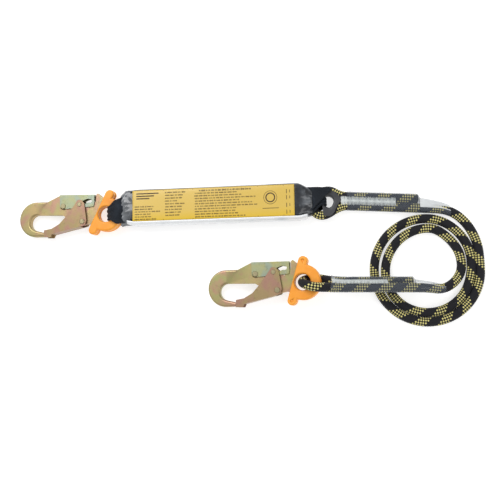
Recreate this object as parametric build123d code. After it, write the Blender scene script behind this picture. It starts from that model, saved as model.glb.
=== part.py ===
from build123d import *
import os
from math import atan2, cos, degrees, hypot, pi, radians, sin, tan

# Shock absorbing lanyard, laid out flat: a tear-webbing pack with a snap hook on its
# webbing loop, and a rope whose one eye sits on the pack's other loop and whose other
# eye holds a second, equal snap hook. Millimetres. The origin is the centre of the
# pack's flat underside, +X runs along the pack towards the rope, and +Z is up.

# ---- driving dimensions ----
ROPE_R = 5.5
FLOOR_Z = 0.0

# Shock pack
PACK_LEFT, PACK_RIGHT = -115.0, 108.0
PACK_HALF_W = 23.0
PACK_TOP = 26.5
NECK_LEFT, NECK_RIGHT = -120.5, 120.5
MOUTH_SHIFT = -3.5
FILM_T = 0.7
CORE_LEFT, CORE_RIGHT = -108.0, 102.0
CORE_HALF_W = 18.5
CORE_Z = (2.0, 24.6)
LABEL_LEFT, LABEL_RIGHT = -104.0, 101.0
LABEL_HALF_W = 19.6
LABEL_T = 0.4
WEB_T = 1.8

# Snap hook, in its own frame: the eye's centre is the origin, the bowl lies towards -X
# and the plate's middle plane is z = 0.
BOWL_HALF_T = 5.0
PLATE_HALF_T = 3.4
BOWL_C, BOWL_R = (-97.0, -7.0), 23.0
BOWL_IN_C, BOWL_IN_R = (-94.5, -11.5), 10.3
EYE_R, EYE_HOLE_R = 19.0, 12.5
GATE_PIVOT = (-31.0, -9.6)
LOCK_PIVOT = (-59.1, 10.5)
TAIL_PIN_R, TAIL_PIN_DEG = 22.8, 102.7
GATE_SWING, LOCK_SWING = 28.0, 9.0
SLOT_END = (-21.8, 17.6)
RIVET_R, RIVET_HEAD_R, RIVET_HEAD_T = 2.5, 3.5, 1.1
PIN_R = 2.2
BORE_GAP = 0.06
LOCK_Z = (3.65, 5.05)
GATE_Z = (5.3, 6.9)
WIRE_R = 0.4

# Moulded eye guard
GUARD_HALF_T = 7.0
GUARD_R, WINDOW_R = 22.0, 10.0
COLLAR_R, RIM_IN_R = 12.2, 19.5
GUARD_PLATE_Z = 3.6
KNOB_R, KNOB_REACH = 5.8, 25.3
CHORD_OFF = 6.5
LIP_R = 2.4
GUARD_PIN_R = 1.6
PIN_RECESS, PIN_SKIN = 0.9, 1.6
GUARD_DEG = 70.5
BAR = 16.0

# Where the two hooks lie: the eye's X and Y, the height of the guard's bar, and in
# degrees the hook's heading, the guard's chord and the tilt down to the bowl. The
# guard's pins show on one of its faces only, which is up on the anchor hook.
HOOKS = {
    "harness": dict(eye=(-142.5, -7.5), bar_z=13.2, heading=-2.6, chord=63.7, tilt=3.46, pins_up=False),
    "anchor": dict(eye=(108.7, -101.0), bar_z=20.4, heading=-1.1, chord=73.6, tilt=6.52, pins_up=True),
}

# Thimble in the rope's first eye, and its stitched splice
THIMBLE_C = (141.5, -1.1, 8.5)
THIMBLE_HOLE_R, THIMBLE_SEAT_R, THIMBLE_HALF_H = 6.6, 8.1, 6.2
FLANGE_T = 0.6
FLANGE_OUTLINE = [
    (157.5, 1.2), (151.0, 9.5), (146.0, 13.0), (136.0, 13.0), (131.5, 5.0), (131.5, -6.0),
    (134.6, -13.0), (135.2, -19.8), (143.0, -20.4), (149.5, -13.5),
]
FIRST_MAIN = (157.0, -6.3, 8.3)
FIRST_HEADING, FIRST_RISE = -4.0, -0.0145
LEG_GAP = 11.3

# Stitched splice of the rope's second eye, in the anchor hook's guard
SECOND_MAIN = (147.0, -108.6, 25.8)
SECOND_HEADING, SECOND_RISE = -1.3, 0.0
SECOND_ACROSS = (0.02, 7.4, -8.6)

# Clear sleeves and stitching, the same on both splices
SLEEVE_START, SLEEVE_END = 12.0, 97.0
SLEEVE_GAP, SLEEVE_T = 0.25, 0.45
SEIZING_LENGTH = 56.0

# Flat coil, and the two places where the rope's open lengths meet it, with the
# directions in which each length leaves
COIL_C = (258.2, -88.9)
COIL_OUT_R = 68.2
COIL_IN_R = 45.9
COIL_START, COIL_START_WAY = (294.0, -21.0, 5.6), (-19.0, 15.7, 0.0)
COIL_END, COIL_END_WAY = (283.5, -108.7, 14.8), (-15.4, -8.6, 7.5)

# The rope's route in two open lengths, each a list of points.
# From the first tail's end, round the thimble, along the splice and into the coil.
FIRST_ROUTE = [
    (251.6, -1.6, 6.9), (157.8, 5.0, 8.3), (142.9, 14.5, 8.5), (126.4, 8.6, 8.5),
    (120.0, -9.8, 8.5), (134.0, -21.0, 8.5), (157.0, -6.3, 8.3), (280.0, -14.9, 6.5),
    (296.0, -21.4, 5.6), (310.2, -36.6, 5.5), (319.8, -59.0, 5.5), (321.0, -84.0, 5.5),
]
# From the coil's innermost turn, over the coil, round the guard's bar and back.
SECOND_ROUTE = [
    (278.2, -44.0, 5.5), (290.9, -56.2, 5.5), (298.7, -71.2, 5.5), (299.8, -90.0, 6.5),
    (290.2, -105.0, 11.5), (274.8, -113.6, 19.0), (256.0, -111.1, 25.8), (144.0, -108.5, 25.8),
    (122.5, -108.3, 37.3), (108.0, -103.0, 28.8), (108.0, -98.2, 12.0), (122.7, -95.0, 3.7),
    (149.0, -101.2, 17.2), (241.0, -103.3, 17.2),
]


# ---- small helpers ----
def prism(points, low, high):
    """A straight prism on a closed outline of points."""
    return Pos(0, 0, low) * extrude(make_face(Polyline(*points, close=True)), high - low)


def both_sides(shape):
    """The shape and its mirror image across the plate's middle plane."""
    return shape + mirror(shape, Plane.XY)


def rod(radius, low, high, at=(0, 0)):
    return Pos(at[0], at[1], (low + high) / 2) * Cylinder(radius, high - low)


def ring(outer, inner, low, high, at=(0, 0)):
    return rod(outer, low, high, at) - rod(inner, low - 1, high + 1, at)


def around(centre, radius, angle):
    """The point at an angle in degrees on a circle."""
    return (centre[0] + radius * cos(radians(angle)), centre[1] + radius * sin(radians(angle)))


def opposite(way):
    return tuple(-step for step in way)


def arc_radii(points):
    """A radius for each corner of a route, as large as its two runs allow."""
    spots = [Vector(*p) for p in points]
    radii = []
    for before, corner, after in zip(spots, spots[1:], spots[2:]):
        turn = radians((corner - before).get_angle(after - corner))
        shorter = min((corner - before).length, (after - corner).length)
        radii.append(0.45 * shorter / tan(turn / 2))
    return radii


def swept_round(points, radius):
    """A round bar of straight runs and arcs along a route."""
    spots = [Vector(*p) for p in points]
    start = Plane(origin=spots[0], z_dir=spots[1] - spots[0])
    return sweep(start * Circle(radius), path=FilletPolyline(*spots, radius=arc_radii(points)))


def tube_along(points, name):
    """A length of rope along a route, with its sizes printed."""
    tube = swept_round(points, ROPE_R)
    path = FilletPolyline(*points, radius=arc_radii(points))
    print(name, "arc radii", [round(r, 1) for r in arc_radii(points)])
    print(name, "length %.1f, volume over section %.1f" % (path.length, tube.volume / (pi * ROPE_R**2)))
    return tube


def part_of(shape, origin, towards):
    """The part of a shape that lies on one side of a plane."""
    half = Plane(origin=origin, z_dir=towards) * Pos(0, 0, 500) * Box(1000, 1000, 1000)
    return shape & half


# ---- snap hook ----
def tail_pin_at(gate_turn):
    return around(GATE_PIVOT, TAIL_PIN_R, TAIL_PIN_DEG - gate_turn)


def hook_body():
    """Forged hook: a thick rounded bowl and nose, and a thinner plate with the eye."""
    bowl_top = (BOWL_C[0], BOWL_C[1] + BOWL_R)
    bowl_low = (BOWL_C[0], BOWL_C[1] - BOWL_R)
    inner_low = around(BOWL_IN_C, BOWL_IN_R, 258)
    inner_top = (BOWL_IN_C[0], BOWL_IN_C[1] + BOWL_IN_R)
    outline = Polyline((-79, inner_top[1]), (-79, bowl_top[1] + 0.2), bowl_top)
    outline += ThreePointArc(bowl_top, around(BOWL_C, BOWL_R, 180), bowl_low)
    outline += Polyline(bowl_low, (-76.5, -29.4), (-76.5, -24.05), (-85.0, -24.05), inner_low)
    outline += ThreePointArc(inner_low, around(BOWL_IN_C, BOWL_IN_R, 185), inner_top)
    outline += Line(inner_top, (-79, inner_top[1]))
    bowl = Pos(0, 0, -BOWL_HALF_T) * extrude(make_face(outline), 2 * BOWL_HALF_T)
    rims = bowl.edges().filter_by(lambda e: abs(e.center().Z) > BOWL_HALF_T - 0.1)
    bowl = fillet(rims.filter_by(lambda e: e.center().X < -79.5), 2.4)

    eye_top, eye_low = around((0, 0), EYE_R, 95), around((0, 0), EYE_R, 221)
    edge = Polyline(
        (-92, -1.2), (-92, 16.05), (-82, 16.2), (-65.6, 24.3), (-64.9, 22.8), (-57, 22.6),
        (-40.5, 20.2), (-39.4, 8.6),
    )
    edge += ThreePointArc((-39.4, 8.6), around(GATE_PIVOT, 20.0, 90), (-22.2, 8.4))
    edge += Polyline((-22.2, 8.4), (-20.2, 14), (-14.6, 16.6), (-14.6, 25.8), (-12.5, 27.5), eye_top)
    edge += ThreePointArc(eye_top, around((0, 0), EYE_R, -20), eye_low)
    edge += Polyline(
        eye_low, (-19.8, -11.4), (-30.9, -14.0), (-32.6, -13.4), (-34.4, -11.9), (-45, -8.4),
        (-54.2, -4.4), (-60, -1.2), (-92, -1.2),
    )
    plate = Pos(0, 0, -PLATE_HALF_T) * extrude(make_face(edge), 2 * PLATE_HALF_T)
    slope = Plane(origin=(-79, 17, PLATE_HALF_T), z_dir=(0.44, -0.35, 1.0))
    wedge = slope * Pos(0, 0, 10) * Box(60, 60, 20)
    wedge &= Pos(-70, 10, 0) * Box(60, 30, 40)
    bowl -= both_sides(wedge)
    body = plate + bowl
    body -= rod(EYE_HOLE_R, -9, 9)
    body -= rod(RIVET_R + BORE_GAP, -9, 9, GATE_PIVOT)
    body -= rod(RIVET_R + BORE_GAP, -9, 9, LOCK_PIVOT)
    body -= rod(4.9, 0.8, 9, LOCK_PIVOT)
    return body


def gate():
    """Sheet-metal gate: two cheeks that straddle the nose and the plate, joined by a spine."""
    cheek = prism(
        [
            (-83.3, -21.4), (-83.3, -30.4), (-74.6, -30.4), (-72.6, -26.3), (-33.4, -16.3),
            (-27.2, -14.4), (-25.2, -8.0), (-29.4, 14.4), (-33.6, 18.6), (-38.4, 18.6),
            (-43.4, 10.7), (-54.0, -3.5), (-62.5, -13.2), (-73.0, -19.4),
        ],
        *GATE_Z,
    )
    corners = cheek.edges().filter_by(Axis.Z)
    tail = corners.filter_by(lambda e: e.center().Y > 5)
    cheek = fillet(tail, 2.2)
    heel = cheek.edges().filter_by(Axis.Z).filter_by(lambda e: e.center().X > -28 and e.center().Y < 0)
    cheek = fillet(heel, 2.0)
    spine = prism(
        [(-72.9, -25.2), (-72.6, -26.3), (-33.4, -16.3), (-33.8, -14.75), (-72.2, -24.55)],
        -GATE_Z[1], GATE_Z[1],
    )
    body = both_sides(cheek) + spine
    for spot, radius in ((GATE_PIVOT, RIVET_R), (tail_pin_at(0), PIN_R)):
        body -= rod(radius, -9, 9, spot)
    return body


def slot_cut(start, end, radius):
    """The tool that cuts a round-ended slot from one point to another."""
    middle = ((start[0] + end[0]) / 2, (start[1] + end[1]) / 2)
    heading = degrees(atan2(end[1] - start[1], end[0] - start[0]))
    length = hypot(end[0] - start[0], end[1] - start[1])
    straight = Pos(*middle, 0) * Rot(0, 0, heading) * Box(length, 2 * radius, 20)
    return straight + rod(radius, -10, 10, start) + rod(radius, -10, 10, end)


def pin_in_lock(share):
    """Where the gate's tail pin sits in the lock's slot, both part way through their swing."""
    x, y = tail_pin_at(GATE_SWING * share)
    out = hypot(x - LOCK_PIVOT[0], y - LOCK_PIVOT[1])
    angle = degrees(atan2(y - LOCK_PIVOT[1], x - LOCK_PIVOT[0]))
    return around(LOCK_PIVOT, out, angle + LOCK_SWING * share)


def lock():
    """Lock lever: a channel over the plate's top edge, slotted for the gate's tail pin."""
    cheek = prism(
        [(-64.3, 25.2), (-63.6, 8.2), (-55.0, 7.0), (-17.4, 10.4), (-16.3, 12.6), (-16.6, 25.7)],
        *LOCK_Z,
    )
    lower = cheek.edges().filter_by(Axis.Z).filter_by(lambda e: e.center().Y < 9)
    cheek = fillet(lower, 2.6)
    web = prism([(-64.3, 25.2), (-64.3, 23.8), (-16.6, 24.3), (-16.6, 25.7)], -LOCK_Z[1], LOCK_Z[1])
    body = both_sides(cheek) + web
    steps = 6
    track = [pin_in_lock(step / steps) for step in range(steps + 1)]
    for start, end in zip(track, track[1:]):
        body -= slot_cut(start, end, PIN_R + 0.45)
    body -= slot_cut(track[-1], SLOT_END, PIN_R + 0.2)
    body -= rod(RIVET_R, -9, 9, LOCK_PIVOT)
    return body


def rivet(spot, reach):
    """A headed rivet that reaches through both cheeks."""
    shank = rod(RIVET_R, -reach, reach, spot)
    head = rod(RIVET_HEAD_R, reach, reach + RIVET_HEAD_T, spot)
    head = chamfer(head.edges().group_by(Axis.Z)[-1], 0.6)
    return shank + both_sides(head)


def tail_pin():
    spot = tail_pin_at(0)
    head = rod(PIN_R + 0.7, GATE_Z[1], GATE_Z[1] + 0.8, spot)
    head = chamfer(head.edges().group_by(Axis.Z)[-1], 0.4)
    return rod(PIN_R, -GATE_Z[1], GATE_Z[1], spot) + both_sides(head)


def torsion_spring(spot, low, turns, leg_deg, leg_length):
    """Close turns of wire round a rivet, with one straight leg."""
    coil_r = RIVET_R + 0.35 + WIRE_R
    coil = None
    for turn in range(turns):
        height = low + WIRE_R + turn * 1.6 * WIRE_R
        loop = Pos(spot[0], spot[1], height) * Torus(coil_r, WIRE_R)
        coil = loop if coil is None else coil + loop
    base = around(spot, coil_r, leg_deg - 90)
    leg = Plane(
        origin=(base[0], base[1], low + WIRE_R),
        z_dir=(cos(radians(leg_deg)), sin(radians(leg_deg)), 0),
    ) * Pos(0, 0, leg_length / 2) * Cylinder(0.9 * WIRE_R, leg_length)
    return coil + leg


def guard_outline():
    """The guard's flat outline: a round eye, a straight edge and a knob at each end."""
    disc = Circle(GUARD_R)
    disc -= Pos(-CHORD_OFF - KNOB_R - 30, 0) * Rectangle(60, 80)
    strip = Pos(-CHORD_OFF, 0) * Rectangle(2 * KNOB_R, 2 * KNOB_REACH)
    knobs = Pos(-CHORD_OFF, KNOB_REACH) * Circle(KNOB_R)
    knobs += Pos(-CHORD_OFF, -KNOB_REACH) * Circle(KNOB_R)
    return disc + strip + knobs


def guard_half(hole_depth):
    """One moulded half of the eye guard, on the +Z side, hollow where the hook's eye turns."""
    half = extrude(guard_outline(), GUARD_HALF_T)
    half = fillet(half.edges().group_by(Axis.Z)[-1], 2.6)
    half -= rod(WINDOW_R, -1, 9)
    lip = ring(WINDOW_R + LIP_R, WINDOW_R - 1, GUARD_HALF_T - LIP_R, GUARD_HALF_T + 1)
    half -= lip - Pos(0, 0, GUARD_HALF_T - LIP_R) * Torus(WINDOW_R + LIP_R, LIP_R)
    room = rod(RIM_IN_R, -1, GUARD_PLATE_Z) - rod(COLLAR_R, -2, 9)
    shank = prism([(-60, -19.0), (0, -19.0), (0, 19.0), (-7.5, 21.8), (-60, 21.8)], -1, GUARD_PLATE_Z)
    room += shank - rod(COLLAR_R, -2, 9)
    half -= room
    for end in (-1, 1):
        half -= rod(GUARD_PIN_R, -1, hole_depth, (-CHORD_OFF, end * KNOB_REACH))
    return Rot(0, 0, GUARD_DEG - 90) * half


def guard_pins():
    """The two pins that hold the guard's halves together, in holes that are blind on the -Z side."""
    low, high = PIN_SKIN - GUARD_HALF_T, GUARD_HALF_T - PIN_RECESS
    spots = [(-CHORD_OFF, -KNOB_REACH), (-CHORD_OFF, KNOB_REACH)]
    return Rot(0, 0, GUARD_DEG - 90) * Compound([rod(GUARD_PIN_R, low, high, spot) for spot in spots])


def guard_nodes(pins_up):
    """The guard's halves and pins, with the pins' open holes on its upper or its lower face."""
    open_half = guard_half(GUARD_HALF_T + 1)
    blind_half = guard_half(GUARD_HALF_T - PIN_SKIN)
    if pins_up:
        return {
            "guard_front": open_half,
            "guard_back": mirror(blind_half, Plane.XY),
            "guard_pins": guard_pins(),
        }
    return {
        "guard_front": blind_half,
        "guard_back": mirror(open_half, Plane.XY),
        "guard_pins": mirror(guard_pins(), Plane.XY),
    }


def seat(shape, hook, heading):
    """Set a piece made in the hook's frame at its place in the layout."""
    x, y = hook["eye"]
    bar = Pos(x + BAR, y, hook["bar_z"]) * Rot(0, -hook["tilt"], 0)
    return bar * Pos(-BAR, 0, 0) * Rot(0, 0, heading) * shape


def hook_nodes(name, hook):
    """All the pieces of one snap hook and its guard."""
    made = {
        "hook_body": hook_body(),
        "gate": gate(),
        "lock": lock(),
        "gate_pivot": rivet(GATE_PIVOT, GATE_Z[1]),
        "lock_pivot": rivet(LOCK_PIVOT, LOCK_Z[1]),
        "gate_tail_pin": tail_pin(),
        "gate_spring": torsion_spring(GATE_PIVOT, PLATE_HALF_T + 0.15, 2, 135, 6.5),
        "lock_spring": torsion_spring(LOCK_PIVOT, 1.0, 3, 100, 2.4),
    }
    placed = {name + "_" + key: seat(shape, hook, hook["heading"]) for key, shape in made.items()}
    turn = hook["chord"] - GUARD_DEG
    for key, shape in guard_nodes(hook["pins_up"]).items():
        placed[name + "_" + key] = seat(shape, hook, turn)
    return placed


# ---- shock pack ----
def pack_section(x, half_w, low, high, corner, shift=0.0):
    plane = Plane(origin=(x, shift, (low + high) / 2), x_dir=(0, 1, 0), z_dir=(1, 0, 0))
    return plane * RectangleRounded(2 * half_w, high - low, corner)


def film_skin(inset):
    """The film's outer shape, or its inner one when inset by the film's thickness."""
    body_low, body_high = FLOOR_Z + inset, PACK_TOP - inset
    mouth_low, mouth_high = 0.5 + inset, 25.2 - inset
    left = loft([
        pack_section(NECK_LEFT - (1 if inset else 0), 20.2 - inset, mouth_low, mouth_high, 5, MOUTH_SHIFT),
        pack_section(PACK_LEFT, PACK_HALF_W - inset, body_low, body_high, 5),
    ])
    middle = loft([
        pack_section(PACK_LEFT, PACK_HALF_W - inset, body_low, body_high, 5),
        pack_section(PACK_RIGHT, PACK_HALF_W - inset, body_low, body_high, 5),
    ])
    right = loft([
        pack_section(PACK_RIGHT, PACK_HALF_W - inset, body_low, body_high, 5),
        pack_section(NECK_RIGHT + (1 if inset else 0), 17.6 - inset, FLOOR_Z + inset, 22.0 - inset, 5),
    ])
    return left + middle + right


def tear_webbing():
    """The folded tear webbing: a stack of folds with rounded ends."""
    folds = 6
    low, high = CORE_Z
    thick = (high - low) / folds
    stack = None
    for fold in range(folds):
        layer = Pos(
            (CORE_LEFT + CORE_RIGHT) / 2, 0, low + thick * (fold + 0.5)
        ) * Box(CORE_RIGHT - CORE_LEFT - 1.2 * (fold % 2), 2 * CORE_HALF_W, thick)
        stack = layer if stack is None else stack + layer
    return stack


def strap(outer, inner, plan):
    """Webbing bent to a side-view shape (outer less inner) and cut to a plan outline."""
    side = Plane(origin=(0, 60, 0), x_dir=(1, 0, 0), z_dir=(0, -1, 0))
    return extrude(side * (outer - inner), 120) & prism(plan, -5, 60)


def loop_face(centre, radius, end, end_low, end_high):
    """A round loop end joined to two legs that close in towards the pack."""
    x, z = centre
    legs = make_face(Polyline((x, z + radius), (end, end_high), (end, end_low), (x, z - radius), close=True))
    return Pos(x, z) * Circle(radius) + legs


def harness_strap():
    """The loop that holds the harness hook: round its guard's bar and back to the pack."""
    hook = HOOKS["harness"]
    x, y = hook["eye"][0] + BAR - 2.0, hook["eye"][1]
    centre = (x, hook["bar_z"])
    end = CORE_LEFT - 0.2
    outer = loop_face(centre, 10.0 + WEB_T, end, 5.1, 19.5)
    inner = loop_face(centre, 10.0, end + 0.01, 5.1 + WEB_T, 19.5 - WEB_T)
    plan = [
        (-150, y - 7.5), (-122.6, y - 7.5), (-120.2, -18.0), (-117.0, -20.0), (end, -18.0),
        (end, 17.5), (-117.0, 13.5), (-120.2, 8.0), (-122.6, y + 7.5), (-150, y + 7.5),
    ]
    return strap(outer, inner, plan)


def rope_strap():
    """The loop that holds the rope: through the thimble and back to the pack."""
    end = CORE_RIGHT + 0.2
    x, y, z = THIMBLE_C
    tip = x - 1.7
    low, high = 0.25, z + THIMBLE_HALF_H + 0.3 + WEB_T
    outer = make_face(Polyline(
        (end, 18.6), (122, high), (tip, high), (tip, low), (126, low), (end, 4.6), close=True,
    ))
    inner = make_face(Polyline(
        (end - 0.01, 18.6 - WEB_T), (122, high - WEB_T), (tip - WEB_T, high - WEB_T),
        (tip - WEB_T, low + WEB_T), (126, low + WEB_T), (end - 0.01, 4.6 + WEB_T), close=True,
    ))
    plan = [
        (end, -17.5), (121, -16.0), (131, y - 5.2), (150, y - 4.8),
        (150, y + 4.8), (131, y + 5.2), (121, 15.0), (end, 17.5),
    ]
    return strap(outer, inner, plan)


def bar_tacks(centre_x, half_w, top, fall):
    """A row of stitches laid on top of a strap's leg, which falls by that angle along X."""
    rows = 7
    seat_on = Pos(centre_x, 0, top) * Rot(0, fall, 0)
    tacks = [
        seat_on * Pos(0, (row - (rows - 1) / 2) * 2 * half_w / (rows - 1), 0.35) * Box(6, 1.0, 0.6)
        for row in range(rows)
    ]
    return Compound(tacks)


# ---- rope ----
def rope_nodes():
    """The rope in three pieces: both spliced ends, and the coil between them."""
    first = tube_along(FIRST_ROUTE, "rope from the thimble")
    second = tube_along(SECOND_ROUTE, "rope to the anchor hook")
    turns = ring(COIL_OUT_R, COIL_IN_R, FLOOR_Z, 2 * ROPE_R, COIL_C)
    turns = fillet(turns.edges(), 4.0)
    coil = turns + part_of(first, COIL_START, opposite(COIL_START_WAY))
    coil += part_of(second, COIL_END, opposite(COIL_END_WAY))
    return {
        "rope_eye_end": part_of(first, COIL_START, COIL_START_WAY),
        "rope_coil": coil,
        "rope_hook_end": part_of(second, COIL_END, COIL_END_WAY),
    }


def splice_plane(main, across, heading, rise):
    """A plane across a splice where its sleeve starts: its x runs from the main leg to the tail."""
    along = Vector(cos(radians(heading)), sin(radians(heading)), rise)
    return Plane(origin=Vector(*main) + along * SLEEVE_START + across * 0.5, x_dir=across, z_dir=along)


def sleeve(plane, gap):
    """A clear sleeve shrunk over the two legs of a splice."""
    inner_r = ROPE_R + SLEEVE_GAP
    outer = SlotCenterToCenter(gap, 2 * (inner_r + SLEEVE_T))
    inner = SlotCenterToCenter(gap, 2 * inner_r)
    return extrude(plane * (outer - inner), SLEEVE_END - SLEEVE_START)


def seizing(plane, gap):
    """Stitching in the valley between the two legs of a splice, on its upper side."""
    side = 1 if (plane.y_dir.Z > 0) else -1
    pad = Pos(0, side * 3.9) * Rectangle(7.0, 3.0)
    pad -= Pos(-gap / 2, 0) * Circle(ROPE_R + 0.05)
    pad -= Pos(gap / 2, 0) * Circle(ROPE_R + 0.05)
    return extrude(plane * pad, SEIZING_LENGTH)


def splice_nodes():
    """Sleeve and stitching of both splices."""
    turn = radians(FIRST_HEADING)
    first_across = Vector(-sin(turn), cos(turn), 0) * LEG_GAP
    second_across = Vector(*SECOND_ACROSS)
    first = splice_plane(FIRST_MAIN, first_across, FIRST_HEADING, FIRST_RISE)
    second = splice_plane(SECOND_MAIN, second_across, SECOND_HEADING, SECOND_RISE)
    return {
        "eye_splice_sleeve": sleeve(first, LEG_GAP),
        "hook_splice_sleeve": sleeve(second, second_across.length),
        "eye_splice_stitching": seizing(first, LEG_GAP),
        "hook_splice_stitching": seizing(second, second_across.length),
    }


def thimble():
    """A grooved eye for the strap, with a wide flange over the rope and another under it."""
    x, y, z = THIMBLE_C
    half = THIMBLE_HALF_H
    flange = prism(FLANGE_OUTLINE, half - FLANGE_T, half)
    flange = fillet(flange.edges().filter_by(Axis.Z), 2.0)
    spool = Pos(0, 0, z) * both_sides(flange) + rod(THIMBLE_SEAT_R, z - half, z + half, (x, y))
    spool -= rod(THIMBLE_HOLE_R, z - half - 1, z + half + 1, (x, y))
    return spool - swept_round(FIRST_ROUTE, ROPE_R + 0.08)


def label():
    """The printed label, laid on the film."""
    length, width = LABEL_RIGHT - LABEL_LEFT, 2 * LABEL_HALF_W
    return Pos((LABEL_LEFT + LABEL_RIGHT) / 2, 0, PACK_TOP + LABEL_T / 2) * Box(length, width, LABEL_T)


def build():
    os.makedirs("parts", exist_ok=True)
    nodes = {}
    for name, hook in HOOKS.items():
        nodes.update(hook_nodes(name, hook))
    nodes["film_cover"] = film_skin(0) - film_skin(FILM_T)
    nodes["tear_webbing"] = tear_webbing()
    nodes["pack_label"] = label()
    nodes["harness_strap"] = harness_strap()
    nodes["rope_strap"] = rope_strap()
    nodes["harness_strap_tacks"] = bar_tacks(-112.6, 13.0, 20.75, 15.2)
    nodes["rope_strap_tacks"] = bar_tacks(108.0, 13.0, 18.1, 5.2)
    nodes["thimble"] = thimble()
    nodes.update(rope_nodes())
    nodes.update(splice_nodes())
    for name, shape in nodes.items():
        export_step(shape, "parts/" + name + ".step")


build()
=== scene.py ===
import random
from math import acos, atan2, ceil, cos, degrees, hypot, pi, radians, sin, sqrt

import bpy
import numpy as np
from mathutils import Matrix, Vector, noise


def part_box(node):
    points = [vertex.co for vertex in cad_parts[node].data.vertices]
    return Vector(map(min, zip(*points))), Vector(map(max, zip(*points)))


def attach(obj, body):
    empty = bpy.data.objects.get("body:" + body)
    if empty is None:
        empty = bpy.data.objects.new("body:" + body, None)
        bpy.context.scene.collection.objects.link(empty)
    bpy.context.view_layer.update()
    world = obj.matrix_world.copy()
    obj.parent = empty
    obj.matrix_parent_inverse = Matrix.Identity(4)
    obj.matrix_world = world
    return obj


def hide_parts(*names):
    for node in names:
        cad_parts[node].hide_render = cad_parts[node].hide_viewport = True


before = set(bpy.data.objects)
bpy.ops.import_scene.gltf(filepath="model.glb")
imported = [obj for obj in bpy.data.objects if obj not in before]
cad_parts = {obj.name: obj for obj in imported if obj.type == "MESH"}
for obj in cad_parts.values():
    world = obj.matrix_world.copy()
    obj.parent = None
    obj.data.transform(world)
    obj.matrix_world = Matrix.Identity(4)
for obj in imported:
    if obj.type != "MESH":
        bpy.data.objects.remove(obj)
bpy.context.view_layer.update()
MM = 0.001

# ---- sizes shared by several pieces, in metres ----
ROPE_R = 5.5 * MM
FLOOR_Z = -0.3 * MM
WEBBING_T = 1.3 * MM

# The rope, end to end: its stitched tail, round the thimble and along the first splice,
# the coil's turns, then over the coil, round the anchor hook's guard and back.
FIRST_ROUTE = [
    (0.2516, -0.0016, 0.0069), (0.1754, 0.0037, 0.0080), (0.1578, 0.0050, 0.0083),
    (0.1429, 0.0145, 0.0085), (0.1264, 0.0086, 0.0085), (0.1200, -0.0098, 0.0085),
    (0.1340, -0.0210, 0.0085), (0.1570, -0.0063, 0.0083), (0.1742, -0.0075, 0.0080),
    (0.2620, -0.0136, 0.0068), (0.2800, -0.0149, 0.0065), (0.2960, -0.0214, 0.0056),
    (0.3102, -0.0366, 0.0055), (0.3198, -0.0590, 0.0055), (0.3210, -0.0840, 0.0055),
]
SECOND_ROUTE = [
    (0.2782, -0.0440, 0.0055), (0.2909, -0.0562, 0.0055), (0.2987, -0.0712, 0.0055),
    (0.2998, -0.0900, 0.0065), (0.2902, -0.1050, 0.0115), (0.2748, -0.1136, 0.0190),
    (0.2560, -0.1111, 0.0258), (0.2360, -0.1106, 0.0258), (0.1680, -0.1091, 0.0258),
    (0.1440, -0.1085, 0.0258), (0.1225, -0.1083, 0.0373), (0.1080, -0.1030, 0.0288),
    (0.1080, -0.0982, 0.0120), (0.1227, -0.0950, 0.0037), (0.1490, -0.1012, 0.0172),
    (0.1770, -0.1019, 0.0172), (0.2410, -0.1033, 0.0172),
]
COIL_C = (0.2582, -0.0889)
COIL_R = 0.0628
COIL_PITCH = 0.0112
COIL_STEP_DEG = 15
COIL_FIRST_DEG, COIL_LAST_DEG = 10, 640
RAMP_FROM_DEG, RAMP_DEG = 285, 80
LOOSE_GAP, LOOSE_DEG = 0.0030, 150

# The splices: where each one's main leg runs between, then its tail leg.
EYE_MAIN = ((0.1575, -0.0064, 0.0083), (0.2900, -0.0178, 0.0058))
EYE_TAIL = ((0.1575, 0.0052, 0.0083), (0.2516, -0.0016, 0.0069))
HOOK_MAIN = ((0.1410, -0.1086, 0.0270), (0.2760, -0.1132, 0.0195))
HOOK_TAIL = ((0.1410, -0.0990, 0.0130), (0.2410, -0.1033, 0.0172))
SPLICE_STEP = 1.0 * MM
SLEEVE_SKIPS = 7

# How far the thimble's flange comes out from its hole's centre, in mm, at angles in degrees.
FLANGE_REACH = [
    (0, 15.9), (12, 16.4), (35, 14.6), (65, 14.2), (90, 14.6), (120, 13.6), (150, 11.0), (180, 9.2),
    (215, 9.0), (232, 10.6), (241, 13.2), (249, 17.8), (256, 19.2), (277, 19.2), (290, 17.4),
    (310, 14.0), (335, 13.0), (350, 14.4), (360, 15.9),
]

# The rope's braid: strands run both ways round it and cross over and under each other.
STRANDS = 10
STRAND_PITCH = 0.029
YELLOW_STRANDS = 5
RELIEF = 0.42 * MM


# ---- mesh helpers ----
def add_mesh(name, points, faces, material, smooth=True):
    """A new mesh object in the row frame."""
    mesh = bpy.data.meshes.new(name)
    mesh.from_pydata([tuple(p) for p in points], [], faces)
    mesh.validate()
    mesh.update()
    obj = bpy.data.objects.new(name, mesh)
    bpy.context.scene.collection.objects.link(obj)
    mesh.materials.append(material)
    if smooth:
        mesh.polygons.foreach_set("use_smooth", [True] * len(mesh.polygons))
    return obj


def set_uv(obj, rows, columns, across, along):
    """A UV map for a grid of quads: across and along give each grid point's two values."""
    layer = obj.data.uv_layers.new(name="grid")
    for face in obj.data.polygons:
        if face.index >= rows * columns:
            continue
        row, column = divmod(face.index, columns)
        corners = ((row, column), (row, column + 1), (row + 1, column + 1), (row + 1, column))
        for loop, (r, c) in zip(face.loop_indices, corners):
            layer.data[loop].uv = (across(r, c), along(r, c))


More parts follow.
